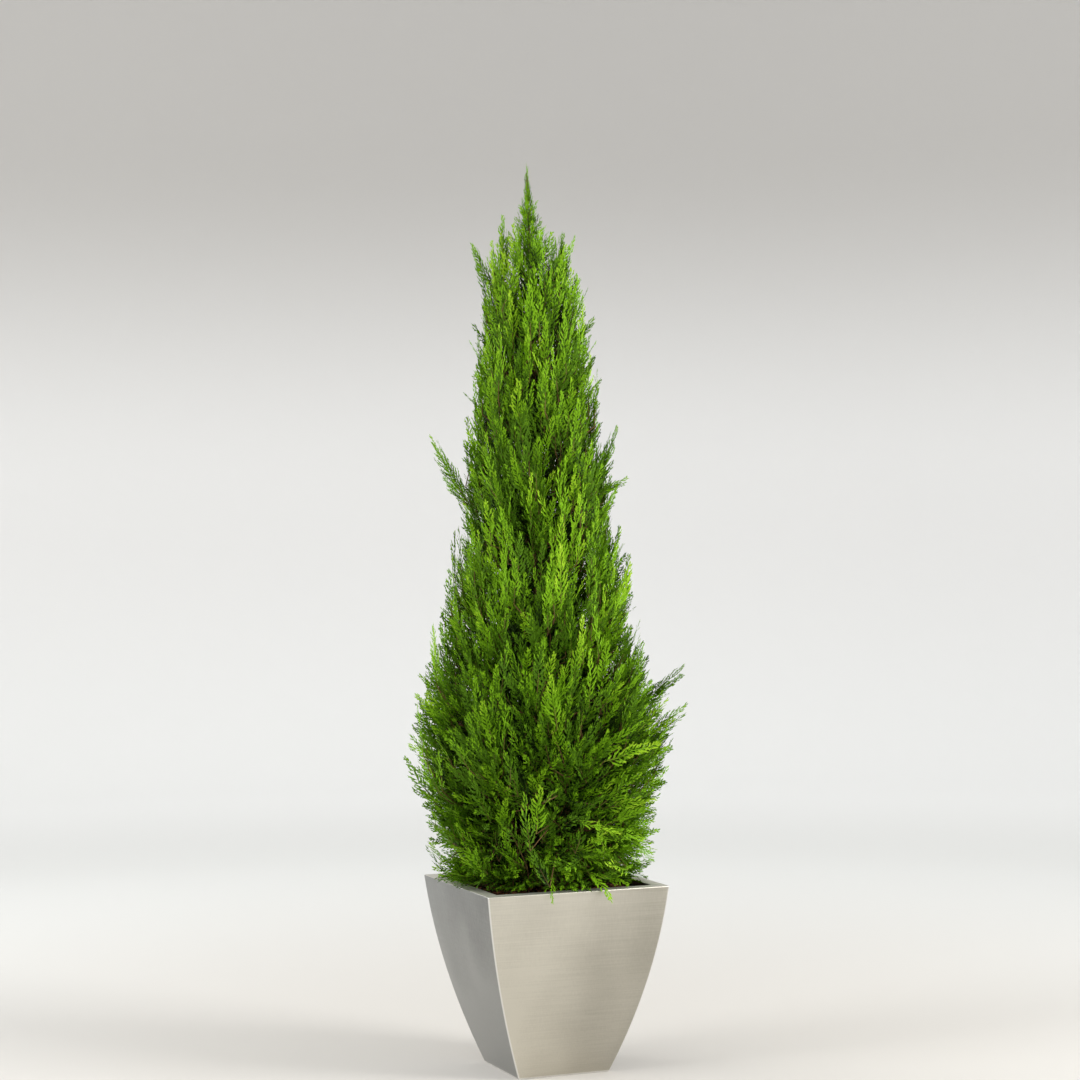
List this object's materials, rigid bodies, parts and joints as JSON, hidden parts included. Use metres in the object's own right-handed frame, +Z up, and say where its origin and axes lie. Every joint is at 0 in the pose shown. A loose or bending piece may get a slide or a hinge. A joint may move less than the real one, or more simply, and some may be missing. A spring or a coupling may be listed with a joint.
{
  "type": "potted conical conifer",
  "caption": "Unclipped cone-shaped evergreen with upright feathery sprays, in a square planter of brushed steel that curves in to a small foot.",
  "frame": {"origin": "middle of the planter's flat underside", "axes": "+Z up the trunk; X and Y square to the planter's sides"},
  "size_m": [0.5754, 0.5291, 1.905],
  "materials": {
    "planter_steel": "brushed, satin",
    "potting_soil": "moist bark mulch over potting soil",
    "bark": "thin stringy bark",
    "foliage_1": "matt leaf, dark",
    "foliage_2": "matt leaf, mid",
    "foliage_3": "matt leaf, fresh"
  },
  "bodies": {
    "root": {"planter": "planter_steel", "soil": "potting_soil", "trunk": "bark", "bough_1_1": "bark", "bough_1_2": "bark", "bough_1_3": "bark", "bough_1_4": "bark", "bough_1_5": "bark", "bough_1_6": "bark", "bough_1_7": "bark", "bough_2_1": "bark", "bough_2_2": "bark", "bough_2_3": "bark", "bough_2_4": "bark", "bough_2_5": "bark", "bough_2_6": "bark", "bough_2_7": "bark", "bough_3_1": "bark", "bough_3_2": "bark", "bough_3_3": "bark", "bough_3_4": "bark", "bough_3_5": "bark", "bough_3_6": "bark", "foliage_1_1": "foliage_1", "foliage_1_2": "foliage_2", "foliage_1_3": "foliage_3", "foliage_1_4": "foliage_1", "foliage_1_5": "foliage_2", "foliage_1_6": "foliage_3", "foliage_1_7": "foliage_1", "foliage_2_1": "foliage_2", "foliage_2_2": "foliage_3", "foliage_2_3": "foliage_1", "foliage_2_4": "foliage_2", "foliage_2_5": "foliage_3", "foliage_2_6": "foliage_1", "foliage_2_7": "foliage_2", "foliage_3_1": "foliage_3", "foliage_3_2": "foliage_1", "foliage_3_3": "foliage_2", "foliage_3_4": "foliage_3", "foliage_3_5": "foliage_1", "foliage_3_6": "foliage_2", "foliage_4_1": "foliage_3", "foliage_4_2": "foliage_1", "foliage_4_3": "foliage_2", "foliage_4_4": "foliage_3", "foliage_4_5": "foliage_1", "foliage_5_1": "foliage_2", "foliage_5_2": "foliage_3", "foliage_5_3": "foliage_1", "foliage_5_4": "foliage_2", "foliage_5_5": "foliage_3", "foliage_6_1": "foliage_1", "foliage_6_2": "foliage_2", "foliage_6_3": "foliage_3", "foliage_6_4": "foliage_1", "foliage_leader": "foliage_2"}
  },
  "joints": []
}
